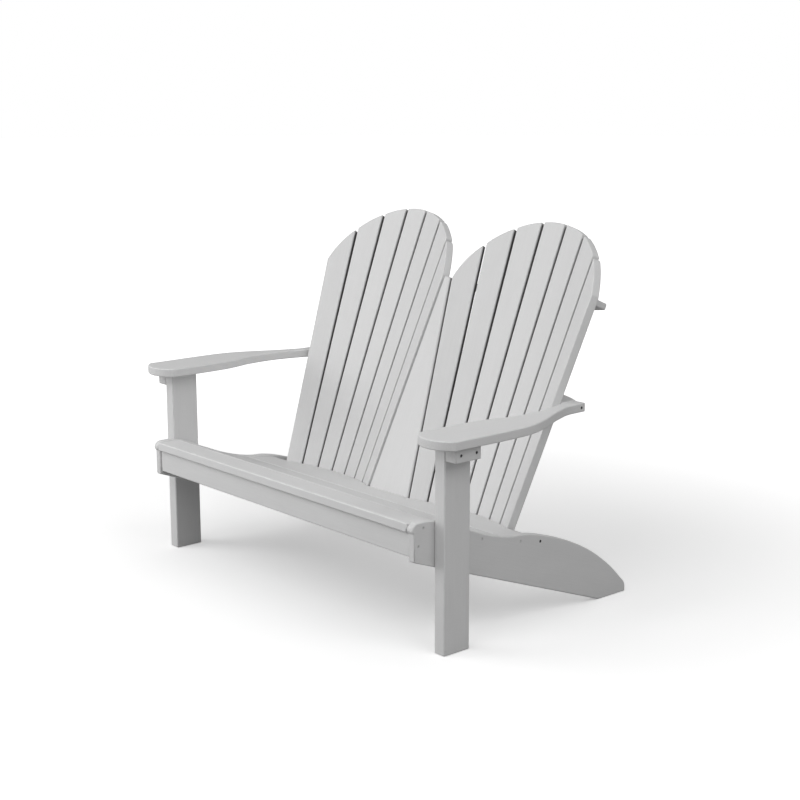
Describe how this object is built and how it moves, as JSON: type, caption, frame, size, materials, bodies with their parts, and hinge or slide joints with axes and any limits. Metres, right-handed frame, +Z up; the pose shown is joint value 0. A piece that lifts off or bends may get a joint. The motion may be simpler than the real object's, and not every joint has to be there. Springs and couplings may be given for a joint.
{
  "type": "garden bench",
  "caption": "Wide garden bench in plastic lumber: dished seat between curved side boards, broad paddle arms and a pair of round-topped fan backs side by side.",
  "frame": {"origin": "on the ground, under the middle of the bench's overall box", "axes": "+Z up, +X towards the right-hand arm as one looks at the front, -Y towards the front of the seat"},
  "size_m": [1.3818, 0.8266, 1.0285],
  "materials": {
    "frame": "solid-colour plastic lumber, light grey, fine brushed grain along each board, satin",
    "seat": "solid-colour plastic lumber, light grey, fine brushed grain along each board, satin",
    "back": "solid-colour plastic lumber, light grey, fine brushed grain along each board, satin",
    "arm": "solid-colour plastic lumber, light grey, fine brushed grain along each board, satin",
    "rail": "solid-colour plastic lumber, light grey, fine brushed grain along each board, satin",
    "screw": "dark coated steel screw heads, set just under the surface"
  },
  "bodies": {
    "root": {"apron": "frame", "arm_block_left": "frame", "arm_block_right": "frame", "arm_left": "arm", "arm_rail": "rail", "arm_right": "arm", "arm_screw_left": "screw", "arm_screw_right": "screw", "back_slat_left_1": "back", "back_slat_left_2": "back", "back_slat_left_3": "back", "back_slat_left_4": "back", "back_slat_left_5": "back", "back_slat_left_6": "back", "back_slat_left_7": "back", "back_slat_right_1": "back", "back_slat_right_2": "back", "back_slat_right_3": "back", "back_slat_right_4": "back", "back_slat_right_5": "back", "back_slat_right_6": "back", "back_slat_right_7": "back", "back_wedge": "back", "block_screw_1_left": "screw", "block_screw_1_right": "screw", "block_screw_2_left": "screw", "block_screw_2_right": "screw", "leg_left": "frame", "leg_right": "frame", "leg_screw_1_left": "screw", "leg_screw_1_right": "screw", "leg_screw_2_left": "screw", "leg_screw_2_right": "screw", "lower_rail": "rail", "seat_board_front": "seat", "seat_board_rear": "seat", "seat_board_second": "seat", "seat_board_third": "seat", "seat_brace": "frame", "stringer_left": "frame", "stringer_right": "frame", "stringer_screw_apron_left": "screw", "stringer_screw_apron_right": "screw", "stringer_screw_front_left": "screw", "stringer_screw_front_right": "screw", "stringer_screw_rail_left": "screw", "stringer_screw_rail_right": "screw", "stringer_screw_rear_left": "screw", "stringer_screw_rear_right": "screw", "stringer_screw_third_left": "screw", "stringer_screw_third_right": "screw", "upper_rail": "rail"}
  },
  "joints": []
}
